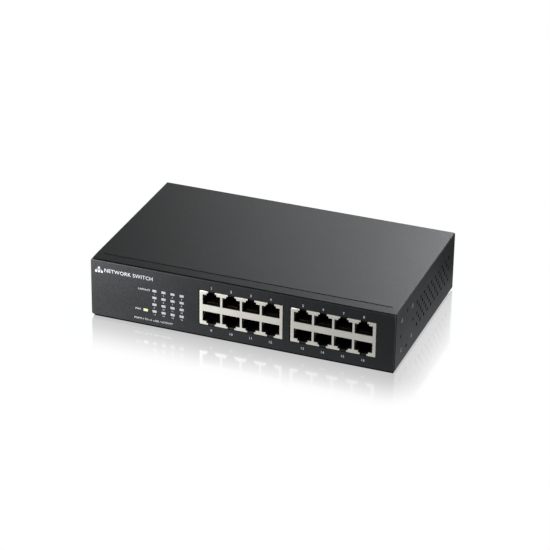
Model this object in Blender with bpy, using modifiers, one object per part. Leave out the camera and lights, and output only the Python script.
"""Desktop 16-port network switch: a sheet-metal case with two stacked jack blocks.

Metres, +Z up. X runs along the front, Y from front to rear. The origin is the centre of the
footprint, on the surface that the rubber feet stand on.
"""

import math

import bmesh
import bpy
from mathutils import Matrix, Vector

MM = 0.001

# ---- driving dimensions -------------------------------------------------------------------

CASE_WIDTH = 215 * MM
CASE_DEPTH = 130 * MM
CASE_HEIGHT = 42 * MM
FOOT_STAND = 1.3 * MM  # how far the feet hold the case off the table
SHEET = 1.0 * MM  # steel of the cover and the base
GAP = 0.3 * MM  # clearance between pieces that touch

PORT_PITCH = 13.97 * MM  # standard pitch of ganged modular jacks
PORTS_ACROSS = 4
BLOCK_X = (0.76 * MM, 65.16 * MM)
BLOCK_NAMES = ("left", "right")
BLOCK_WIDTH = 59.0 * MM
BLOCK_HEIGHT = 24.9 * MM
BLOCK_DEPTH = 25.5 * MM
BLOCK_MIDDLE = 21.1 * MM  # height of the block's middle above the case's underside
SHIELD_SHEET = 0.4 * MM
SHIELD_RECESS = 0.05 * MM
INSERT_SHEET = 2 * MM  # the plate behind the ports that carries the contact tongues
TONGUE = (9.6 * MM, 10 * MM, 1.1 * MM)
JACK_MARGIN = 0.45 * MM  # the panel's cut-out round a block

# One jack opening, measured from the block's middle line: the plug's body, the step for its
# shoulders and the slot for its latch, each as half width and the height where it ends.
PORT_FLOOR = 2.45 * MM
PORT_BODY = (6.3 * MM, 9.85 * MM)
PORT_STEP = (3.6 * MM, 11.2 * MM)
PORT_KEY = (2.45 * MM, 13.2 * MM)
KEY_DEPTH = 4 * MM  # how far back the key notches cut the shield's roof

# ---- the case ------------------------------------------------------------------------------

SCREW_HEAD_HEIGHT = 1.6 * MM
REAR_PROUD = SCREW_HEAD_HEIGHT + GAP  # the cover screws' heads are the rearmost points
FRONT = -(CASE_DEPTH + REAR_PROUD) / 2
REAR = FRONT + CASE_DEPTH
FLOOR = FOOT_STAND  # the case's underside
ROOF = FLOOR + CASE_HEIGHT

STRIP_DEPTH = 10.2 * MM  # the cover's front strip, in front of the crease
STRIP_DROP = 0.3 * MM
COVER_BEND = 1.5 * MM
COVER_TOE_RADIUS = 1.5 * MM
CREASE_LENGTH = 204 * MM
CREASE_WIDTH = 0.7 * MM
CREASE_DEEP = 0.45 * MM
LIP_HEIGHT = 9 * MM
LIP_MARGIN = 3.5 * MM

BASE_SIDE_GAP = 0.5 * MM
BASE_HALF_WIDTH = CASE_WIDTH / 2 - SHEET - BASE_SIDE_GAP
PANEL_RETURN = 1.5 * MM  # the front panel's edges, folded back all round
PANEL_BEND = 1.2 * MM
PANEL_CORNER = 1.5 * MM  # its two lower corners
PANEL_TOP = ROOF - STRIP_DROP
COVER_FRONT = FRONT + PANEL_RETURN + 0.4 * MM
TRAY_FRONT = FRONT + 0.4 * MM  # the tray's front wall stands inside the panel's own sheet
PANEL_REAR = REAR - SHEET - GAP
BASE_TOP = ROOF - SHEET - STRIP_DROP - 0.5 * MM
BASE_BEND = 1.6 * MM
BASE_RIM = 6 * MM
SIDE_FLANGE = 10 * MM
CORNER_RETURN = 8 * MM
CUT_MARGIN = 2 * MM  # how far a cutter stands out of what it cuts

# ---- vents, bracket holes and screw places on the sides --------------------------------------

VENT_RADIUS = 1.2 * MM
VENT_PITCH = 7.8 * MM
VENT_LONG_ROWS = (29.1 * MM, 20.8 * MM, 12.4 * MM)
VENT_SHORT_ROWS = (25.0 * MM, 16.6 * MM)
VENT_FIRST = FRONT + 47.0 * MM
VENT_LONG_COUNT = 10
BRACKET_Y = FRONT + 25.5 * MM
BRACKET_Z = FLOOR + 20.4 * MM
BRACKET_SQUARE = 11.0 * MM  # half the side of the square of threaded holes
BRACKET_DIAMOND = 13.2 * MM
BRACKET_HOLE_RADIUS = 1.35 * MM
LOCATING_HOLE_RADIUS = 1.25 * MM
COVER_SCREW_X = 86 * MM
COVER_SCREW_Z = ROOF - 5.2 * MM

# ---- lamps ---------------------------------------------------------------------------------

LAMP_COLUMNS = 4
LAMP_ROWS = 4
LAMP_FIRST_X = -61.2 * MM
LAMP_PITCH_X = 6.55 * MM
LAMP_TOP_Z = FLOOR + 26.2 * MM
LAMP_PITCH_Z = 5.13 * MM
LAMP_WINDOW = (3.6 * MM, 2.3 * MM)
LAMP_TIP = (3.1 * MM, 1.8 * MM)
LAMP_RECESS = 0.15 * MM
LAMP_PLATE_BEHIND = 4.5 * MM
LAMP_PLATE_SHEET = 1.8 * MM
POWER_LAMP_X = -67.7 * MM

# ---- boards and what stands on them -----------------------------------------------------------

BOARD_SHEET = 1.6 * MM
BOARD_UNDER = FLOOR + 6.7 * MM
BOARD_TOP = BOARD_UNDER + BOARD_SHEET
ON_BOARD = BOARD_TOP + GAP
MAIN_BOARD_X = (-80 * MM, 102 * MM)
MAIN_BOARD_Y = (TRAY_FRONT + SHEET + 0.6 * MM, 12 * MM)
MAIN_SCREWS = (
    (-74.5 * MM, -46 * MM),
    (-74.5 * MM, 7 * MM),
    (98.4 * MM, -46 * MM),
    (98.4 * MM, 7 * MM),
)
POWER_BOARD_X = (-46 * MM, 54 * MM)
POWER_BOARD_Y = (19 * MM, 58 * MM)
POWER_SCREWS = ((-20 * MM, 23 * MM), (49 * MM, 53 * MM))
BOSS_RADIUS = 3.2 * MM
SCREW_HOLE_RADIUS = 1.7 * MM
SHANK_RADIUS = 1.35 * MM
SCREW_HEAD_RADIUS = 2.7 * MM
SCREW_LENGTH = 6 * MM

BOARD_BLOCKS = {  # name: x, y, width, depth, height and softened edge, in millimetres
    "switch_chip": (12, -8, 24, 24, 1.6, 0.4),
    "port_chip": (66, -9, 18, 18, 1.6, 0.4),
    "memory_chip": (-25, -12, 6, 5, 1.6, 0.4),
    "clock_crystal": (-13, -13, 5, 11, 3.6, 1.0),
    "board_inductor": (-58, -14, 12, 12, 6.5, 1.0),
    "power_socket": (45, 6.5, 8.5, 6, 8, 0.4),
    "mains_filter_capacitor": (-35, 36, 15, 7, 12, 0.4),
    "mains_choke": (-34, 49, 16, 13, 15, 1.0),
    "power_transformer": (14, 33, 24, 20, 18, 1.0),
    "power_heatsink": (13, 55, 30, 2, 20, 0.3),
    "power_transistor": (12, 51.2, 10, 4.4, 15, 0.4),
}
BOARD_CANS = {  # name: x, y, radius and height, in millimetres
    "board_capacitor_1": (-44, -22, 4, 11.5),
    "board_capacitor_2": (-44, -8, 4, 11.5),
    "bulk_capacitor": (-12, 44, 8, 23),
    "output_capacitor": (40, 30, 5, 16),
}
PORT_TRANSFORMER_Y = -31.5
PORT_TRANSFORMER = (27, 12, 6, 0.4)
HEATSINK = (34 * MM, 34 * MM, 11 * MM)
HEATSINK_FLOOR = 2.5 * MM
FINS = 7
FIN = 1.4 * MM
INSULATOR = (104 * MM, 42 * MM, 0.4 * MM)
FUSE_PLACE = (-34 * MM, 26 * MM)
FUSE_LIFT = 4.2 * MM
FUSE_RADIUS = 2.6 * MM
FUSE_LENGTH = 16 * MM
FUSE_CLIP = (2 * MM, 4 * MM, 4 * MM)
FUSE_CLIP_X = 6.5 * MM

FOOT_X = 90 * MM
FOOT_Y = 49 * MM
FOOT_RADIUS = 6.5 * MM
FOOT_NECK_RADIUS = 2.2 * MM
FOOT_HOLE_RADIUS = 2.6 * MM
FOOT_BARB_RADIUS = 3.3 * MM

# ---- mains inlet, in the rear panel ------------------------------------------------------------

INLET_X = -75 * MM
INLET_Z = FLOOR + 20.5 * MM
INLET_BODY = (27.4 * MM, 19.8 * MM)
INLET_BODY_DEPTH = 19 * MM
INLET_FLANGE = (31.6 * MM, 24 * MM)
INLET_FLANGE_SHEET = 1.7 * MM
INLET_WELL = (24.2 * MM, 16.6 * MM)
INLET_WELL_DEPTH = 16.5 * MM
INLET_WELL_CHAMFER = 4.6 * MM
PIN_SIZE = (2.0 * MM, 4.0 * MM)
PIN_SPREAD = 7.0 * MM
PIN_OFFSET = 2.0 * MM
PIN_RECESS = 5.2 * MM
PIN_TAIL = 5.0 * MM
EARTH_POINT = (-94 * MM, 26 * MM)

LUG_RADIUS = 3.4 * MM
LUG_SHEET = 0.8 * MM
LUG_TOP = BOARD_UNDER + LUG_SHEET
LUG_TONGUE = (6 * MM, 2.4 * MM, 0.8 * MM)
LUG_TONGUE_X = 5 * MM
EARTH_SCREW_LENGTH = 4.5 * MM

WIRE_RADIUS = 0.9 * MM
WIRE_STEPS = 3  # points between two of a route's own points
SUPPLY_WIRE_SPREAD = 1.7 * MM
WIRE_ROUTES = {  # points after the wire's start, in millimetres
    "mains_wire_line": (
        (-82, 32.75, 24.3),
        (-74, 27.75, 22.8),
        (-54, 24, 22.8),
        (-44, 23, 14.9),
        (-42, 22.5, 9.9),
    ),
    "mains_wire_neutral": (
        (-67.5, 34.75, 23.8),
        (-62, 31.75, 20.8),
        (-52, 31, 17.9),
        (-45, 30.5, 14.9),
        (-43, 30.5, 9.9),
    ),
    "earth_wire": ((-75.5, 33.75, 18.8), (-80, 27.75, 13.8), (-84, 24, 12.8), (-88.4, 26, 10.0)),
    "supply_wire": ((0, 0.5, 3.7), (0.4, 6.5, 6.2), (2, 13.5, 2.7), (4, 16, -4.3)),
}

STEEL_BLACK = (0.035, 0.036, 0.038)
SHIELD_SILVER = (0.62, 0.60, 0.55)
JACK_BLACK = (0.006, 0.006, 0.006)
CONTACT_GOLD = (0.75, 0.55, 0.22)
LAMP_WHITE = (0.72, 0.73, 0.74)
LAMP_LIT = (0.78, 0.95, 0.35)
RUBBER_BLACK = (0.012, 0.012, 0.013)
SCREW_STEEL = (0.55, 0.55, 0.56)
BOARD_GREEN = (0.012, 0.09, 0.035)
BOARD_TAN = (0.42, 0.27, 0.10)
CHIP_BLACK = (0.012, 0.012, 0.014)
ALUMINIUM = (0.60, 0.61, 0.62)
CAN_BLUE = (0.02, 0.035, 0.10)
FILM_YELLOW = (0.65, 0.45, 0.06)
FERRITE = (0.03, 0.03, 0.032)
HEADER_CREAM = (0.75, 0.72, 0.62)
FUSE_GLASS = (0.75, 0.78, 0.78)
SHEET_CLEAR = (0.55, 0.56, 0.52)
WIRE_COLOURS = {
    "red": (0.45, 0.012, 0.010),
    "black": (0.008, 0.008, 0.009),
    "brown": (0.12, 0.035, 0.012),
    "blue": (0.012, 0.05, 0.35),
    "green": (0.02, 0.22, 0.03),
}

UP = Matrix.Identity(4)
TO_REAR = Matrix.Rotation(math.radians(-90), 4, "X")  # local +Z becomes +Y
TO_RIGHT = Matrix.Rotation(math.radians(90), 4, "Y")  # local +Z becomes +X
STAND_UP = Matrix.Rotation(math.radians(90), 4, "X")  # an outline in XY comes to stand in XZ

parts = bpy.data.collections.new("network_switch")
cutters = bpy.data.collections.new("cutters")


# ---- helpers -------------------------------------------------------------------------------------


def clear_scene():
    for old in list(bpy.data.objects):
        bpy.data.objects.remove(old, do_unlink=True)
    bpy.context.scene.collection.children.link(parts)
    bpy.context.scene.collection.children.link(cutters)


def material(name, colour, roughness=0.5, metallic=0.0):
    made = bpy.data.materials.get(name)
    if made:
        return made
    made = bpy.data.materials.new(name)
    made.use_nodes = True
    shader = made.node_tree.nodes["Principled BSDF"]
    shader.inputs["Base Color"].default_value = (*colour, 1.0)
    shader.inputs["Roughness"].default_value = roughness
    shader.inputs["Metallic"].default_value = metallic
    return made


def add_part(name, mesh, surface, place=(0, 0, 0), turn=UP):
    part = bpy.data.objects.new(name, mesh)
    part.matrix_world = Matrix.Translation(place) @ turn
    mesh.materials.clear()
    mesh.materials.append(surface)
    parts.objects.link(part)
    return part


def add_cutter(name, mesh, place=(0, 0, 0), turn=UP):
    cutter = bpy.data.objects.new(name, mesh)
    cutter.matrix_world = Matrix.Translation(place) @ turn
    cutter.hide_render = True
    cutter.display_type = "WIRE"
    cutters.objects.link(cutter)
    return cutter


def finish_mesh(name, bm):
    mesh = bpy.data.meshes.new(name)
    bm.to_mesh(mesh)
    bm.free()
    return mesh


def add_block(bm, size, middle=(0, 0, 0)):
    matrix = Matrix.Translation(middle) @ Matrix.Diagonal((*size, 1.0))
    return bmesh.ops.create_cube(bm, size=1.0, matrix=matrix)["verts"]


def add_rod(bm, radius, length, middle=(0, 0, 0), turn=UP, sides=12):
    bmesh.ops.create_cone(
        bm,
        cap_ends=True,
        segments=sides,
        radius1=radius,
        radius2=radius,
        depth=length,
        matrix=Matrix.Translation(middle) @ turn,
    )


def block_mesh(name, size):
    bm = bmesh.new()
    add_block(bm, size)
    return finish_mesh(name, bm)


def blocks_mesh(name, size, middles):
    bm = bmesh.new()
    for middle in middles:
        add_block(bm, size, middle)
    return finish_mesh(name, bm)


def rods_mesh(name, radius, length, middles, turn=UP, sides=12):
    bm = bmesh.new()
    for middle in middles:
        add_rod(bm, radius, length, middle, turn, sides)
    return finish_mesh(name, bm)


def cut(part, cutter):
    modifier = part.modifiers.new("cut " + cutter.name, "BOOLEAN")
    modifier.operation = "DIFFERENCE"
    modifier.solver = "EXACT"
    modifier.object = cutter


def join(part, tool):
    modifier = part.modifiers.new("join " + tool.name, "BOOLEAN")
    modifier.operation = "UNION"
    modifier.solver = "EXACT"
    modifier.object = tool


def soften(part, width, segments=1):
    modifier = part.modifiers.new("soft edges", "BEVEL")
    modifier.width = width
    modifier.segments = segments
    modifier.limit_method = "ANGLE"


def thicken(part, thickness):
    modifier = part.modifiers.new("sheet", "SOLIDIFY")
    modifier.thickness = thickness
    modifier.offset = -1
    modifier.use_even_offset = True


def smooth_round(part):
    part.data.shade_smooth()
    part.data.set_sharp_from_angle(angle=math.radians(35))


def turned_mesh(name, profile):
    """A chain of (radius, height) points from the top of the axis down to its bottom."""
    bm = bmesh.new()
    chain = [bm.verts.new((radius, 0, height)) for radius, height in profile]
    for upper, lower in zip(chain, chain[1:]):
        bm.edges.new((upper, lower))
    return finish_mesh(name, bm)


def spin(part, steps):
    modifier = part.modifiers.new("turned", "SCREW")
    modifier.angle = math.tau
    modifier.steps = steps
    modifier.render_steps = steps
    modifier.use_merge_vertices = True
    modifier.merge_threshold = 0.00001


def mesh_of_curve(name, data):
    """The curve as a mesh with its caps welded on."""
    holder = bpy.data.objects.new(name, data)
    bpy.context.scene.collection.objects.link(holder)
    bpy.context.view_layer.update()
    evaluated = holder.evaluated_get(bpy.context.evaluated_depsgraph_get())
    mesh = bpy.data.meshes.new_from_object(evaluated)
    mesh.name = name
    bpy.data.objects.remove(holder, do_unlink=True)
    bm = bmesh.new()
    bm.from_mesh(mesh)
    bmesh.ops.remove_doubles(bm, verts=bm.verts, dist=0.00001)
    bm.to_mesh(mesh)
    bm.free()
    return mesh


def outline_mesh(name, outlines, thickness):
    """Flat closed outlines in XY, extruded by half the thickness both ways along Z."""
    data = bpy.data.curves.new(name, "CURVE")
    data.dimensions = "2D"
    data.fill_mode = "BOTH"
    data.extrude = thickness / 2
    for outline in outlines:
        spline = data.splines.new("POLY")
        spline.points.add(len(outline) - 1)
        for point, (x, y) in zip(spline.points, outline):
            point.co = (x, y, 0, 1)
        spline.use_cyclic_u = True
    return mesh_of_curve(name, data)


def smooth_route(points):
    """Catmull-Rom points through a route's own points."""
    ends = [2 * points[0] - points[1]] + points + [2 * points[-1] - points[-2]]
    route = []
    for before, start, end, after in zip(ends, ends[1:], ends[2:], ends[3:]):
        for step in range(WIRE_STEPS):
            t = step / WIRE_STEPS
            route.append(
                0.5
                * (
                    2 * start
                    + (end - before) * t
                    + (2 * before - 5 * start + 4 * end - after) * t**2
                    + (3 * start - before - 3 * end + after) * t**3
                )
            )
    return route + [points[-1]]


def add_wire(name, points, colour, radius=WIRE_RADIUS):
    route = smooth_route([Vector(point) for point in points])
    data = bpy.data.curves.new(name, "CURVE")
    data.dimensions = "3D"
    data.bevel_depth = radius
    data.bevel_resolution = 2
    data.use_fill_caps = True
    spline = data.splines.new("POLY")
    spline.points.add(len(route) - 1)
    for point, place in zip(spline.points, route):
        point.co = (*place, 1)
    surface = material("wire " + colour, WIRE_COLOURS[colour], 0.45)
    wire = add_part(name, mesh_of_curve(name, data), surface)
    smooth_round(wire)
    return wire


def hang_under(part, empty):
    place = part.matrix_world.copy()
    part.parent = empty
    part.matrix_world = Matrix.Translation(-empty.location) @ place


def add_axis(name, place):
    empty = bpy.data.objects.new(name, None)
    empty.empty_display_size = 10 * MM
    empty.location = place
    parts.objects.link(empty)
    return empty


# ---- case ------------------------------------------------------------------------------------------


def side_holes(offsets, radius, name, sides):
    """Holes through both side walls at (y, z) places."""
    middles = []
    for side in (-1, 1):
        x = side * (CASE_WIDTH / 2 - SHEET / 2)
        middles += [(x, y, z) for y, z in offsets]
    return add_cutter(name, rods_mesh(name, radius, 4 * SHEET, middles, TO_RIGHT, sides))


def vent_places():
    places = []
    for row in VENT_LONG_ROWS:
        for step in range(VENT_LONG_COUNT):
            places.append((VENT_FIRST + step * VENT_PITCH, FLOOR + row))
    for row in VENT_SHORT_ROWS:
        for step in range(VENT_LONG_COUNT - 1):
            places.append((VENT_FIRST + (step + 0.5) * VENT_PITCH, FLOOR + row))
    return places


def square_places():
    reach = BRACKET_SQUARE
    return [(BRACKET_Y + u * reach, BRACKET_Z + v * reach) for u in (-1, 1) for v in (-1, 1)]


def diamond_places():
    reach = BRACKET_DIAMOND
    steps = ((reach, 0), (0, reach), (-reach, 0), (0, -reach))
    return [(BRACKET_Y + u, BRACKET_Z + v) for u, v in steps]


def cover_surface():
    """Top and two side walls as one open surface, with bent corners and a dropped front strip."""
    bm = bmesh.new()
    middle = (0, (COVER_FRONT + REAR) / 2, (FLOOR + ROOF) / 2)
    add_block(bm, (CASE_WIDTH, REAR - COVER_FRONT, CASE_HEIGHT), middle)
    open_faces = [f for f in bm.faces if f.normal.z < -0.5 or abs(f.normal.y) > 0.5]
    bmesh.ops.delete(bm, geom=open_faces, context="FACES")
    long_edges = [e for e in bm.edges if all(v.co.z > ROOF - MM for v in e.verts)]
    bends = [e for e in long_edges if abs(e.verts[0].co.y - e.verts[1].co.y) > MM]
    bmesh.ops.bevel(bm, geom=bends, offset=COVER_BEND, segments=4, profile=0.5, affect="EDGES")
    toes = [v for v in bm.verts if v.co.z < FLOOR + MM and v.co.y < 0]
    bmesh.ops.bevel(
        bm, geom=toes, offset=COVER_TOE_RADIUS, segments=4, profile=0.5, affect="VERTICES"
    )
    bmesh.ops.bisect_plane(
        bm,
        geom=bm.verts[:] + bm.edges[:] + bm.faces[:],
        plane_co=(0, FRONT + STRIP_DEPTH, 0),
        plane_no=(0, 1, 0),
    )
    for vert in bm.verts:
        if vert.co.z > ROOF - COVER_BEND - 0.01 * MM and vert.co.y < COVER_FRONT + 0.01 * MM:
            vert.co.z -= STRIP_DROP
    return finish_mesh("top_cover", bm)


def build_top_cover(steel):
    cover = add_part("top_cover", cover_surface(), steel)
    thicken(cover, SHEET)
    lip_size = (CASE_WIDTH - 2 * LIP_MARGIN, SHEET, LIP_HEIGHT)
    lip_place = (0, REAR - SHEET / 2, ROOF - LIP_HEIGHT / 2 - 0.2 * MM)
    join(cover, add_cutter("rear_lip", block_mesh("rear_lip", lip_size), lip_place))
    crease = block_mesh("crease", (CREASE_LENGTH, CREASE_WIDTH, 2 * CREASE_DEEP))
    cut(cover, add_cutter("crease", crease, (0, FRONT + STRIP_DEPTH, ROOF)))
    cut(cover, side_holes(vent_places(), VENT_RADIUS, "vents", 6))
    cut(cover, side_holes(square_places(), BRACKET_HOLE_RADIUS, "bracket_holes", 10))
    cut(cover, side_holes(diamond_places(), LOCATING_HOLE_RADIUS, "locating_holes", 10))
    screw_places = [(side * COVER_SCREW_X, REAR - SHEET / 2, COVER_SCREW_Z) for side in (-1, 1)]
    holes = rods_mesh("lip_holes", SCREW_HOLE_RADIUS, 3 * SHEET, screw_places, TO_REAR)
    cut(cover, add_cutter("lip_holes", holes))
    return cover


def base_surface():
    """The tray behind the front panel: a box whose top is open inside a turned-in rim."""
    bm = bmesh.new()
    size = (2 * BASE_HALF_WIDTH, PANEL_REAR - TRAY_FRONT, BASE_TOP - FLOOR)
    middle = (0, (TRAY_FRONT + PANEL_REAR) / 2, (FLOOR + BASE_TOP) / 2)
    add_block(bm, size, middle)
    bm.edges.ensure_lookup_table()
    corners = bm.edges[:]
    bmesh.ops.bevel(bm, geom=corners, offset=BASE_BEND, segments=3, profile=0.5, affect="EDGES")
    bm.faces.ensure_lookup_table()
    top = max(bm.faces, key=lambda f: f.calc_center_median().z)
    bmesh.ops.inset_region(bm, faces=[top], thickness=BASE_RIM - BASE_BEND)
    bmesh.ops.delete(bm, geom=[top], context="FACES")
    return finish_mesh("chassis_base", bm)


def panel_surface():
    """The full-width front panel as an open box: its edges are folded back behind its face."""
    bm = bmesh.new()
    size = (CASE_WIDTH, PANEL_RETURN, PANEL_TOP - FLOOR)
    add_block(bm, size, (0, FRONT + PANEL_RETURN / 2, (FLOOR + PANEL_TOP) / 2))
    for low, radius in ((True, PANEL_CORNER), (False, COVER_BEND)):
        corners = []
        for edge in bm.edges:
            first, second = edge.verts
            runs_back = abs(first.co.y - second.co.y) > PANEL_RETURN / 2
            is_low = first.co.z < (FLOOR + PANEL_TOP) / 2
            if runs_back and is_low == low and abs(first.co.x) > CASE_WIDTH / 2 - radius / 9:
                corners.append(edge)
        bmesh.ops.bevel(bm, geom=corners, offset=radius, segments=4, profile=0.5, affect="EDGES")
    back = [f for f in bm.faces if f.normal.y > 0.5]
    bmesh.ops.delete(bm, geom=back, context="FACES")
    rim = [e for e in bm.edges if all(v.co.y < FRONT + 0.01 * MM for v in e.verts)]
    bmesh.ops.bevel(bm, geom=rim, offset=PANEL_BEND, segments=3, profile=0.5, affect="EDGES")
    return finish_mesh("front_panel", bm)


def lamp_places():
    places = []
    for row in range(LAMP_ROWS):
        for column in range(LAMP_COLUMNS):
            x = LAMP_FIRST_X + column * LAMP_PITCH_X
            places.append((x, LAMP_TOP_Z - row * LAMP_PITCH_Z))
    return places


def power_lamp_place():
    return POWER_LAMP_X, LAMP_TOP_Z - (LAMP_ROWS - 1) * LAMP_PITCH_Z


def build_chassis_base(steel):
    base = add_part("chassis_base", base_surface(), steel)
    thicken(base, SHEET)
    panel = add_cutter("front_panel", panel_surface())
    thicken(panel, SHEET)
    join(base, panel)

    opening_depth = PANEL_REAR - TRAY_FRONT - 2 * CORNER_RETURN
    opening = block_mesh("side_opening", (CASE_WIDTH + 10 * MM, opening_depth, CASE_HEIGHT))
    opening_place = (0, (TRAY_FRONT + PANEL_REAR) / 2, FLOOR + SIDE_FLANGE + CASE_HEIGHT / 2)
    cut(base, add_cutter("side_opening", opening, opening_place))

    panel_y = TRAY_FRONT + SHEET / 2
    hole = (BLOCK_WIDTH + 2 * JACK_MARGIN, 2 * CUT_MARGIN, BLOCK_HEIGHT + 2 * JACK_MARGIN)
    middles = [(x, panel_y, FLOOR + BLOCK_MIDDLE) for x in BLOCK_X]
    cut(base, add_cutter("jack_holes", blocks_mesh("jack_holes", hole, middles)))

    window = (LAMP_WINDOW[0], 2 * CUT_MARGIN, LAMP_WINDOW[1])
    middles = [(x, panel_y, z) for x, z in lamp_places() + [power_lamp_place()]]
    cut(base, add_cutter("lamp_windows", blocks_mesh("lamp_windows", window, middles)))

    inlet_hole = (INLET_BODY[0] + 2 * GAP, 2 * CUT_MARGIN, INLET_BODY[1] + 2 * GAP)
    inlet_place = (INLET_X, PANEL_REAR - SHEET / 2, INLET_Z)
    cut(base, add_cutter("inlet_hole", block_mesh("inlet_hole", inlet_hole), inlet_place))

    rear_places = [(side * COVER_SCREW_X, PANEL_REAR, COVER_SCREW_Z) for side in (-1, 1)]
    holes = rods_mesh("rear_holes", SCREW_HOLE_RADIUS, 4 * SHEET, rear_places, TO_REAR)
    cut(base, add_cutter("rear_holes", holes))

    foot_places = [(x, y, FLOOR + SHEET / 2) for x, y in foot_spots()]
    holes = rods_mesh("foot_holes", FOOT_HOLE_RADIUS, 4 * SHEET, foot_places)
    cut(base, add_cutter("foot_holes", holes))

    boss_top = BOARD_UNDER - GAP
    boss_bottom = FLOOR + SHEET / 2
    spots = MAIN_SCREWS + POWER_SCREWS + (EARTH_POINT,)
    middles = [(x, y, (boss_top + boss_bottom) / 2) for x, y in spots]
    bosses = rods_mesh("bosses", BOSS_RADIUS, boss_top - boss_bottom, middles)
    join(base, add_cutter("bosses", bosses))
    middles = [(x, y, boss_top) for x, y in spots]
    holes = rods_mesh("boss_holes", SCREW_HOLE_RADIUS, 2 * (boss_top - boss_bottom), middles)
    cut(base, add_cutter("boss_holes", holes))
    return base


def foot_spots():
    return [(x, y) for y in (-FOOT_Y, FOOT_Y) for x in (-FOOT_X, FOOT_X)]


def build_feet(rubber):
    pad_top = FLOOR - GAP
    barb_under = FLOOR + SHEET + GAP
    profile = (
        (0, barb_under + 1.6 * MM),
        (1.4 * MM, barb_under + 1.6 * MM),
        (FOOT_BARB_RADIUS, barb_under),
        (FOOT_NECK_RADIUS, barb_under),
        (FOOT_NECK_RADIUS, pad_top),
        (FOOT_RADIUS, pad_top),
        (FOOT_RADIUS, 0.35 * MM),
        (FOOT_RADIUS - 0.5 * MM, 0),
        (0, 0),
    )
    mesh = turned_mesh("foot", profile)
    names = ("front_left", "front_right", "rear_left", "rear_right")
    for name, (x, y) in zip(names, foot_spots()):
        foot = add_part("foot_" + name, mesh, rubber, (x, y, 0))
        spin(foot, 12)
    smooth_round(foot)


def screw_profile(length):
    """A pan-head screw: its head stands on the plane z = 0 and its shank hangs below."""
    head = SCREW_HEAD_RADIUS
    return (
        (0, SCREW_HEAD_HEIGHT),
        (0.55 * head, 0.95 * SCREW_HEAD_HEIGHT),
        (0.9 * head, 0.6 * SCREW_HEAD_HEIGHT),
        (head, 0.15 * SCREW_HEAD_HEIGHT),
        (head, 0),
        (SHANK_RADIUS, 0),
        (SHANK_RADIUS, -length + 0.6 * MM),
        (0.6 * SHANK_RADIUS, -length),
        (0, -length),
    )


def add_screw(name, mesh, place, turn, steel):
    screw = add_part(name, mesh, steel, place, turn)
    spin(screw, 10)
    return screw


def build_screws(steel):
    cover_mesh = turned_mesh("cover_screw", screw_profile(SCREW_LENGTH))
    cover_screws = []
    for name, side in (("left", -1), ("right", 1)):
        place = (side * COVER_SCREW_X, REAR + GAP, COVER_SCREW_Z)
        cover_screws.append(add_screw("cover_screw_" + name, cover_mesh, place, TO_REAR, steel))
    board_mesh = turned_mesh("board_screw", screw_profile(SCREW_LENGTH))
    spots = [("main_board_screw", MAIN_SCREWS), ("power_board_screw", POWER_SCREWS)]
    for name, places in spots:
        for number, (x, y) in enumerate(places, 1):
            add_screw(f"{name}_{number}", board_mesh, (x, y, ON_BOARD), UP, steel)
    smooth_round(cover_screws[0])
    return cover_screws


# ---- jacks -------------------------------------------------------------------------------------------


def port_outline(middle, side):
    """The stepped outline of one jack opening. side is 1 in the upper row and -1 in the lower."""
    body, step, key = PORT_BODY, PORT_STEP, PORT_KEY
    right = [
        (body[0], PORT_FLOOR),
        (body[0], body[1]),
        (step[0], body[1]),
        (step[0], step[1]),
        (key[0], step[1]),
        (key[0], key[1]),
    ]
    left = [(-x, z) for x, z in reversed(right)]
    return [(middle + x, side * z) for x, z in right + left]


def port_outlines():
    middles = [(step - (PORTS_ACROSS - 1) / 2) * PORT_PITCH for step in range(PORTS_ACROSS)]
    return [port_outline(middle, side) for side in (1, -1) for middle in middles]


def shield_surface(name):
    """Front, top, sides and back of a jack block's screen; its underside is open."""
    bm = bmesh.new()
    add_block(bm, (BLOCK_WIDTH, BLOCK_DEPTH, BLOCK_HEIGHT))
    under = [f for f in bm.faces if f.normal.z < -0.5]
    bmesh.ops.delete(bm, geom=under, context="FACES")
    return finish_mesh(name, bm)


def build_jack_block(name, x, silver, black, gold):
    block_z = FLOOR + BLOCK_MIDDLE
    shield_front = FRONT + SHIELD_RECESS
    shield_rear = shield_front + BLOCK_DEPTH
    place = (x, (shield_front + shield_rear) / 2, block_z)

    shield = add_part("jack_shield_" + name, shield_surface("jack_shield_" + name), silver, place)
    thicken(shield, SHIELD_SHEET)
    windows = outline_mesh("port_windows_" + name, port_outlines(), 2 * KEY_DEPTH)
    cut(shield, add_cutter(windows.name, windows, (x, shield_front, block_z), STAND_UP))

    wall = SHIELD_SHEET + GAP
    insert_depth = INSERT_SHEET
    housing_front = shield_front + wall
    housing_rear = shield_rear - wall - insert_depth - GAP
    housing_size = (
        BLOCK_WIDTH - 2 * wall,
        housing_rear - housing_front,
        BLOCK_HEIGHT - 2 * wall,
    )
    housing_place = (x, (housing_front + housing_rear) / 2, block_z)
    housing_mesh = block_mesh("jack_housing_" + name, housing_size)
    housing = add_part("jack_housing_" + name, housing_mesh, black, housing_place)
    wells = outline_mesh("port_wells_" + name, port_outlines(), housing_size[1] + 2 * MM)
    cut(housing, add_cutter(wells.name, wells, housing_place, STAND_UP))

    insert_size = (housing_size[0], insert_depth, housing_size[2])
    insert_place = (x, housing_rear + GAP + insert_depth / 2, block_z)
    insert_mesh = block_mesh("contact_insert_" + name, insert_size)
    insert = add_part("contact_insert_" + name, insert_mesh, gold, insert_place)
    tongue_z = PORT_FLOOR + GAP + TONGUE[2] / 2
    reach = -TONGUE[1] / 2
    middles = []
    for step in range(PORTS_ACROSS):
        port_x = (step - (PORTS_ACROSS - 1) / 2) * PORT_PITCH
        middles += [(port_x, reach, side * tongue_z) for side in (-1, 1)]
    tongues = blocks_mesh("contact_tongues_" + name, TONGUE, middles)
    join(insert, add_cutter(tongues.name, tongues, insert_place))


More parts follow.
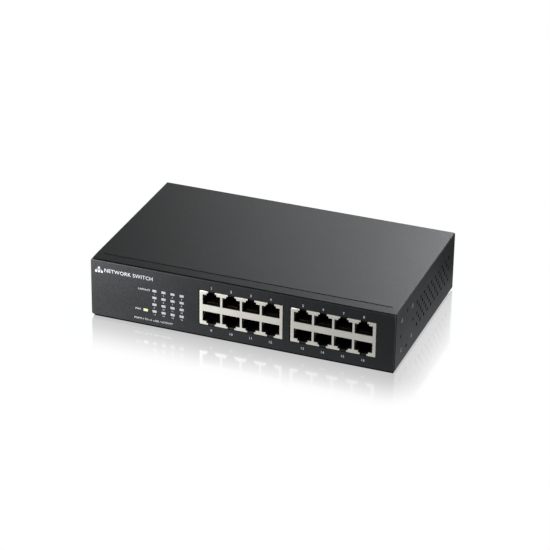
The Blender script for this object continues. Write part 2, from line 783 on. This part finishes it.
# ---- lamps -------------------------------------------------------------------------------------------


def build_light_guides(clear, lit):
    tip_front = FRONT + LAMP_RECESS
    plate_y = TRAY_FRONT + SHEET + LAMP_PLATE_BEHIND
    plate_depth = LAMP_PLATE_SHEET
    tip_length = plate_y - tip_front
    places = lamp_places()
    left, right = places[0][0], places[-1][0]
    top = places[0][1] + 2 * MM
    plate_size = (right - left + 5 * MM, plate_depth, top - ON_BOARD)
    plate_place = ((left + right) / 2, plate_y, (top + ON_BOARD) / 2)
    guide = add_part("lamp_guide", block_mesh("lamp_guide", plate_size), clear, plate_place)
    tip = (LAMP_TIP[0], tip_length, LAMP_TIP[1])
    middles = [(x, tip_front + tip_length / 2, z) for x, z in places]
    join(guide, add_cutter("lamp_tips", blocks_mesh("lamp_tips", tip, middles)))

    x, z = power_lamp_place()
    stalk_size = (LAMP_TIP[0] - 0.2 * MM, plate_depth, z + LAMP_TIP[1] - ON_BOARD)
    stalk_place = (x, plate_y, (z + LAMP_TIP[1] + ON_BOARD) / 2)
    stalk = add_part("power_lamp_guide", block_mesh("power_lamp", stalk_size), lit, stalk_place)
    middles = [(x, tip_front + tip_length / 2, z)]
    join(stalk, add_cutter("power_lamp_tip", blocks_mesh("power_lamp_tip", tip, middles)))


# ---- main board ---------------------------------------------------------------------------------------


def build_board(name, x_span, y_span, screws, surface):
    size = (x_span[1] - x_span[0], y_span[1] - y_span[0], BOARD_SHEET)
    place = (sum(x_span) / 2, sum(y_span) / 2, BOARD_UNDER + BOARD_SHEET / 2)
    board = add_part(name, block_mesh(name, size), surface, place)
    middles = [(x, y, place[2]) for x, y in screws]
    holes = rods_mesh(name + "_holes", SCREW_HOLE_RADIUS, 3 * BOARD_SHEET, middles)
    cut(board, add_cutter(name + "_holes", holes))
    return board


def stand_block(name, surface, numbers=None):
    x, y, width, depth, height, edge = (value * MM for value in numbers or BOARD_BLOCKS[name])
    mesh = block_mesh(name, (width, depth, height))
    part = add_part(name, mesh, surface, (x, y, ON_BOARD + height / 2))
    soften(part, edge)


def stand_can(name, surface):
    x, y, radius, height = (value * MM for value in BOARD_CANS[name])
    bm = bmesh.new()
    add_rod(bm, radius, height, sides=16)
    part = add_part(name, finish_mesh(name, bm), surface, (x, y, ON_BOARD + height / 2))
    soften(part, 0.5 * MM)
    smooth_round(part)


def build_main_board_parts():
    chip = material("chip epoxy", CHIP_BLACK, 0.55)
    metal = material("aluminium", ALUMINIUM, 0.35, 1.0)
    can = material("capacitor sleeve", CAN_BLUE, 0.4)
    for name in ("switch_chip", "port_chip", "memory_chip"):
        stand_block(name, chip)
    number = 0
    for block_x in BLOCK_X:
        for side in (-1, 1):
            number += 1
            x = (block_x + side * BLOCK_WIDTH / 4) / MM
            numbers = (x, PORT_TRANSFORMER_Y, *PORT_TRANSFORMER)
            stand_block(f"port_transformer_{number}", chip, numbers)
    stand_block("clock_crystal", metal)
    stand_can("board_capacitor_1", can)
    stand_can("board_capacitor_2", can)
    stand_block("board_inductor", material("ferrite", FERRITE, 0.6))
    stand_block("power_socket", material("header nylon", HEADER_CREAM, 0.5))

    chip_x, chip_y, chip_height = (BOARD_BLOCKS["switch_chip"][index] * MM for index in (0, 1, 4))
    sink_base = ON_BOARD + chip_height + GAP
    mesh = block_mesh("chip_heatsink", HEATSINK)
    place = (chip_x, chip_y, sink_base + HEATSINK[2] / 2)
    heatsink = add_part("chip_heatsink", mesh, metal, place)
    pitch = (HEATSINK[0] - FIN) / (FINS - 1)
    slot = (pitch - FIN, HEATSINK[1] + 2 * CUT_MARGIN, HEATSINK[2])
    slot_z = sink_base + HEATSINK_FLOOR + HEATSINK[2] / 2
    first = chip_x - HEATSINK[0] / 2 + FIN + slot[0] / 2
    middles = [(first + step * pitch, chip_y, slot_z) for step in range(FINS - 1)]
    cut(heatsink, add_cutter("fin_slots", blocks_mesh("fin_slots", slot, middles)))


# ---- power supply --------------------------------------------------------------------------------


def build_power_supply():
    tan = material("power board", BOARD_TAN, 0.6)
    metal = material("aluminium", ALUMINIUM, 0.35, 1.0)
    can = material("capacitor sleeve", CAN_BLUE, 0.4)
    yellow = material("film yellow", FILM_YELLOW, 0.45)
    build_board("power_board", POWER_BOARD_X, POWER_BOARD_Y, POWER_SCREWS, tan)

    sheet_z = FLOOR + SHEET + GAP + INSULATOR[2] / 2
    sheet_place = (sum(POWER_BOARD_X) / 2, sum(POWER_BOARD_Y) / 2, sheet_z)
    film = material("insulating film", SHEET_CLEAR, 0.3)
    mesh = block_mesh("insulating_sheet", INSULATOR)
    sheet = add_part("insulating_sheet", mesh, film, sheet_place)
    middles = [(x, y, sheet_z) for x, y in POWER_SCREWS]
    holes = rods_mesh("sheet_holes", BOSS_RADIUS + 2 * GAP, 2 * CUT_MARGIN, middles)
    cut(sheet, add_cutter("sheet_holes", holes))

    bm = bmesh.new()
    add_rod(bm, FUSE_RADIUS, FUSE_LENGTH, turn=TO_RIGHT, sides=12)
    glass = material("fuse glass", FUSE_GLASS, 0.15)
    place = (*FUSE_PLACE, ON_BOARD + FUSE_LIFT)
    fuse = add_part("mains_fuse", finish_mesh("mains_fuse", bm), glass, place)
    middles = [(side * FUSE_CLIP_X, 0, 0) for side in (-1, 1)]
    clips = blocks_mesh("fuse_clips", FUSE_CLIP, middles)
    join(fuse, add_cutter("fuse_clips", clips, (*FUSE_PLACE, ON_BOARD + FUSE_CLIP[2] / 2)))

    stand_block("mains_filter_capacitor", yellow)
    stand_block("mains_choke", material("ferrite", FERRITE, 0.6))
    stand_can("bulk_capacitor", can)
    stand_block("power_transformer", yellow)
    stand_block("power_heatsink", metal)
    stand_block("power_transistor", material("chip epoxy", CHIP_BLACK, 0.55))
    stand_can("output_capacitor", can)


def inlet_outline(size, chamfer):
    half_x, half_z = size[0] / 2, size[1] / 2
    return [
        (-half_x, -half_z),
        (half_x, -half_z),
        (half_x, half_z - chamfer),
        (half_x - chamfer, half_z),
        (-half_x + chamfer, half_z),
        (-half_x, half_z - chamfer),
    ]


def pin_places():
    """Line, neutral and earth, seen from the rear: earth is the middle one, set down."""
    line = (INLET_X - PIN_SPREAD, INLET_Z + PIN_OFFSET)
    neutral = (INLET_X + PIN_SPREAD, INLET_Z + PIN_OFFSET)
    earth = (INLET_X, INLET_Z - PIN_OFFSET)
    return {"line": line, "neutral": neutral, "earth": earth}


def build_inlet(steel):
    black = material("inlet plastic", JACK_BLACK, 0.4)
    tin = material("tinned pin", (0.7, 0.69, 0.66), 0.3, 1.0)
    flange_inner = PANEL_REAR + GAP
    mouth = flange_inner + INLET_FLANGE_SHEET
    body_inner = PANEL_REAR - INLET_BODY_DEPTH
    size = (INLET_BODY[0], mouth - body_inner - 0.2 * MM, INLET_BODY[1])
    place = (INLET_X, (mouth - 0.2 * MM + body_inner) / 2, INLET_Z)
    inlet = add_part("mains_inlet", block_mesh("mains_inlet", size), black, place)
    flange = (INLET_FLANGE[0], INLET_FLANGE_SHEET, INLET_FLANGE[1])
    flange_place = (INLET_X, flange_inner + INLET_FLANGE_SHEET / 2, INLET_Z)
    join(inlet, add_cutter("inlet_flange", block_mesh("inlet_flange", flange), flange_place))
    outline = inlet_outline(INLET_WELL, INLET_WELL_CHAMFER)
    well = outline_mesh("inlet_well", [outline], 2 * INLET_WELL_DEPTH)
    cut(inlet, add_cutter("inlet_well", well, (INLET_X, mouth, INLET_Z), STAND_UP))
    slot = (PIN_SIZE[0] + 2 * GAP, 12 * MM, PIN_SIZE[1] + 2 * GAP)
    middles = [(x, body_inner, z) for x, z in pin_places().values()]
    cut(inlet, add_cutter("pin_slots", blocks_mesh("pin_slots", slot, middles)))

    tip = mouth - PIN_RECESS
    tail = body_inner - PIN_TAIL
    for name, (x, z) in pin_places().items():
        mesh = block_mesh("inlet_pin_" + name, (PIN_SIZE[0], tip - tail, PIN_SIZE[1]))
        pin = add_part("inlet_pin_" + name, mesh, tin, (x, (tip + tail) / 2, z))
        soften(pin, 0.4 * MM)
    return tail


def build_earth_point(steel):
    lug_mesh = rods_mesh("earth_lug", LUG_RADIUS, LUG_SHEET, ((0, 0, 0),))
    lug_place = (*EARTH_POINT, LUG_TOP - LUG_SHEET / 2)
    lug = add_part("earth_lug", lug_mesh, material("tinned pin", SCREW_STEEL), lug_place)
    tongue = block_mesh("lug_tongue", LUG_TONGUE)
    tongue_place = (EARTH_POINT[0] + LUG_TONGUE_X, EARTH_POINT[1], lug_place[2])
    join(lug, add_cutter("lug_tongue", tongue, tongue_place))
    hole = rods_mesh("lug_hole", SCREW_HOLE_RADIUS, 2 * CUT_MARGIN, ((0, 0, 0),))
    cut(lug, add_cutter("lug_hole", hole, lug_place))
    screw_mesh = turned_mesh("earth_screw", screw_profile(EARTH_SCREW_LENGTH))
    add_screw("earth_screw", screw_mesh, (*EARTH_POINT, LUG_TOP + GAP), UP, steel)


def build_wires(tail):
    colours = {"line": "brown", "neutral": "blue", "earth": "green"}
    for pin, (x, z) in pin_places().items():
        name = "earth_wire" if pin == "earth" else "mains_wire_" + pin
        middle = [Vector(point) * MM for point in WIRE_ROUTES[name]]
        add_wire(name, [(x, tail - GAP, z)] + middle, colours[pin])
    x, y, width, depth, height, edge = (value * MM for value in BOARD_BLOCKS["power_socket"])
    for name, colour, side in (("positive", "red", 1), ("negative", "black", -1)):
        start = Vector((x + side * SUPPLY_WIRE_SPREAD, y, ON_BOARD + height + GAP))
        middle = [start + Vector(step) * MM for step in WIRE_ROUTES["supply_wire"]]
        end = (middle[-1].x, middle[-1].y, ON_BOARD)
        add_wire("supply_wire_" + name, [start] + middle + [end], colour)


# ---- the whole switch --------------------------------------------------------------------------------


def main():
    clear_scene()
    steel = material("black powder coat", STEEL_BLACK, 0.5, 0.0)
    rubber = material("foot rubber", RUBBER_BLACK, 0.8)
    screw_steel = material("screw steel", SCREW_STEEL, 0.3, 1.0)
    silver = material("shield tin", SHIELD_SILVER, 0.35, 1.0)
    black = material("jack plastic", JACK_BLACK, 0.5)
    gold = material("contact insert", CONTACT_GOLD, 0.35, 1.0)
    clear = material("lamp guide", LAMP_WHITE, 0.3)
    lit = material("lit lamp guide", LAMP_LIT, 0.3)

    build_chassis_base(steel)
    cover = build_top_cover(steel)
    build_feet(rubber)
    cover_screws = build_screws(screw_steel)
    for name, x in zip(BLOCK_NAMES, BLOCK_X):
        build_jack_block(name, x, silver, black, gold)
    build_light_guides(clear, lit)
    green = material("main board", BOARD_GREEN, 0.4)
    build_board("main_board", MAIN_BOARD_X, MAIN_BOARD_Y, MAIN_SCREWS, green)
    build_main_board_parts()
    build_power_supply()
    tail = build_inlet(steel)
    build_earth_point(screw_steel)
    build_wires(tail)

    slide = add_axis("cover_slide_axis", (0, REAR, ROOF))
    hang_under(cover, slide)
    for screw in cover_screws:
        hang_under(screw, slide)


main()
